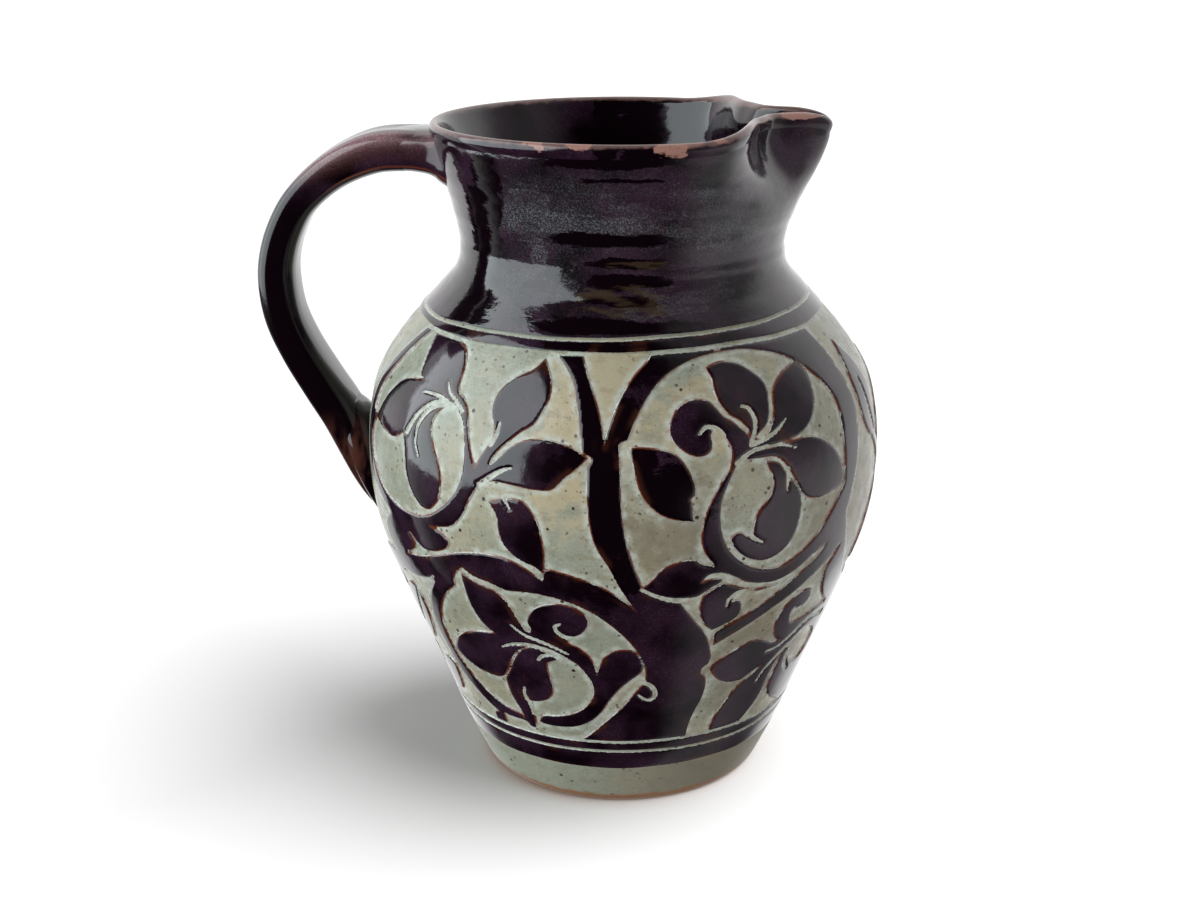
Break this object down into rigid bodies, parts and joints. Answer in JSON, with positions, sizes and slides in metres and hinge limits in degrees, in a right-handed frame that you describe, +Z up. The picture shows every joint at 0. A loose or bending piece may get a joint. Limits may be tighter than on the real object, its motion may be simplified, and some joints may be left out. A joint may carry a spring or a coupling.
{
  "type": "carved jug",
  "caption": "Wheel-thrown stoneware jug with pouring lip and strap handle. Its dark slip coat is carved away to pale clay in a scrolling vine. It holds and pours liquids.",
  "frame": {"origin": "on the throwing axis, in the middle of the flat underside of the foot", "axes": "+Z up along the throwing axis, +X towards the pouring lip, -X towards the handle, -Y towards the front of the carving"},
  "size_m": [0.2152, 0.1806, 0.235],
  "materials": {
    "pale_clay": "clear glossy glaze over carved grey-buff stoneware, iron-speckled",
    "dark_slip": "glossy dark plum slip glaze with a fine silvery haze",
    "handle_slip": "glossy dark slip glaze, breaking to brown along the ridges"
  },
  "bodies": {
    "root": {"back_far_left_foot_leaf_slip": "dark_slip", "back_far_left_leaf_slip": "dark_slip", "back_heart_bud_slip": "dark_slip", "back_left_lower_leaf_slip": "dark_slip", "back_left_ring_flower_slip": "dark_slip", "back_right_scroll_lower_petal_slip": "dark_slip", "back_right_stem_leaf_slip": "dark_slip", "back_side_foot_leaf_slip": "dark_slip", "back_vine_slip": "dark_slip", "front_far_left_foot_leaf_slip": "dark_slip", "front_far_left_leaf_slip": "dark_slip", "front_heart_bud_slip": "dark_slip", "front_left_lower_leaf_slip": "dark_slip", "front_left_ring_flower_slip": "dark_slip", "front_right_scroll_lower_petal_slip": "dark_slip", "front_right_stem_leaf_slip": "dark_slip", "front_side_foot_leaf_slip": "dark_slip", "front_vine_slip": "dark_slip", "high_foot_slip_band": "dark_slip", "low_foot_slip_band": "dark_slip", "lower_handle_join": "handle_slip", "neck_slip_coat": "dark_slip", "pulled_handle": "handle_slip", "shoulder_slip_band": "dark_slip", "thrown_body": "pale_clay", "upper_handle_join": "handle_slip"}
  },
  "joints": []
}
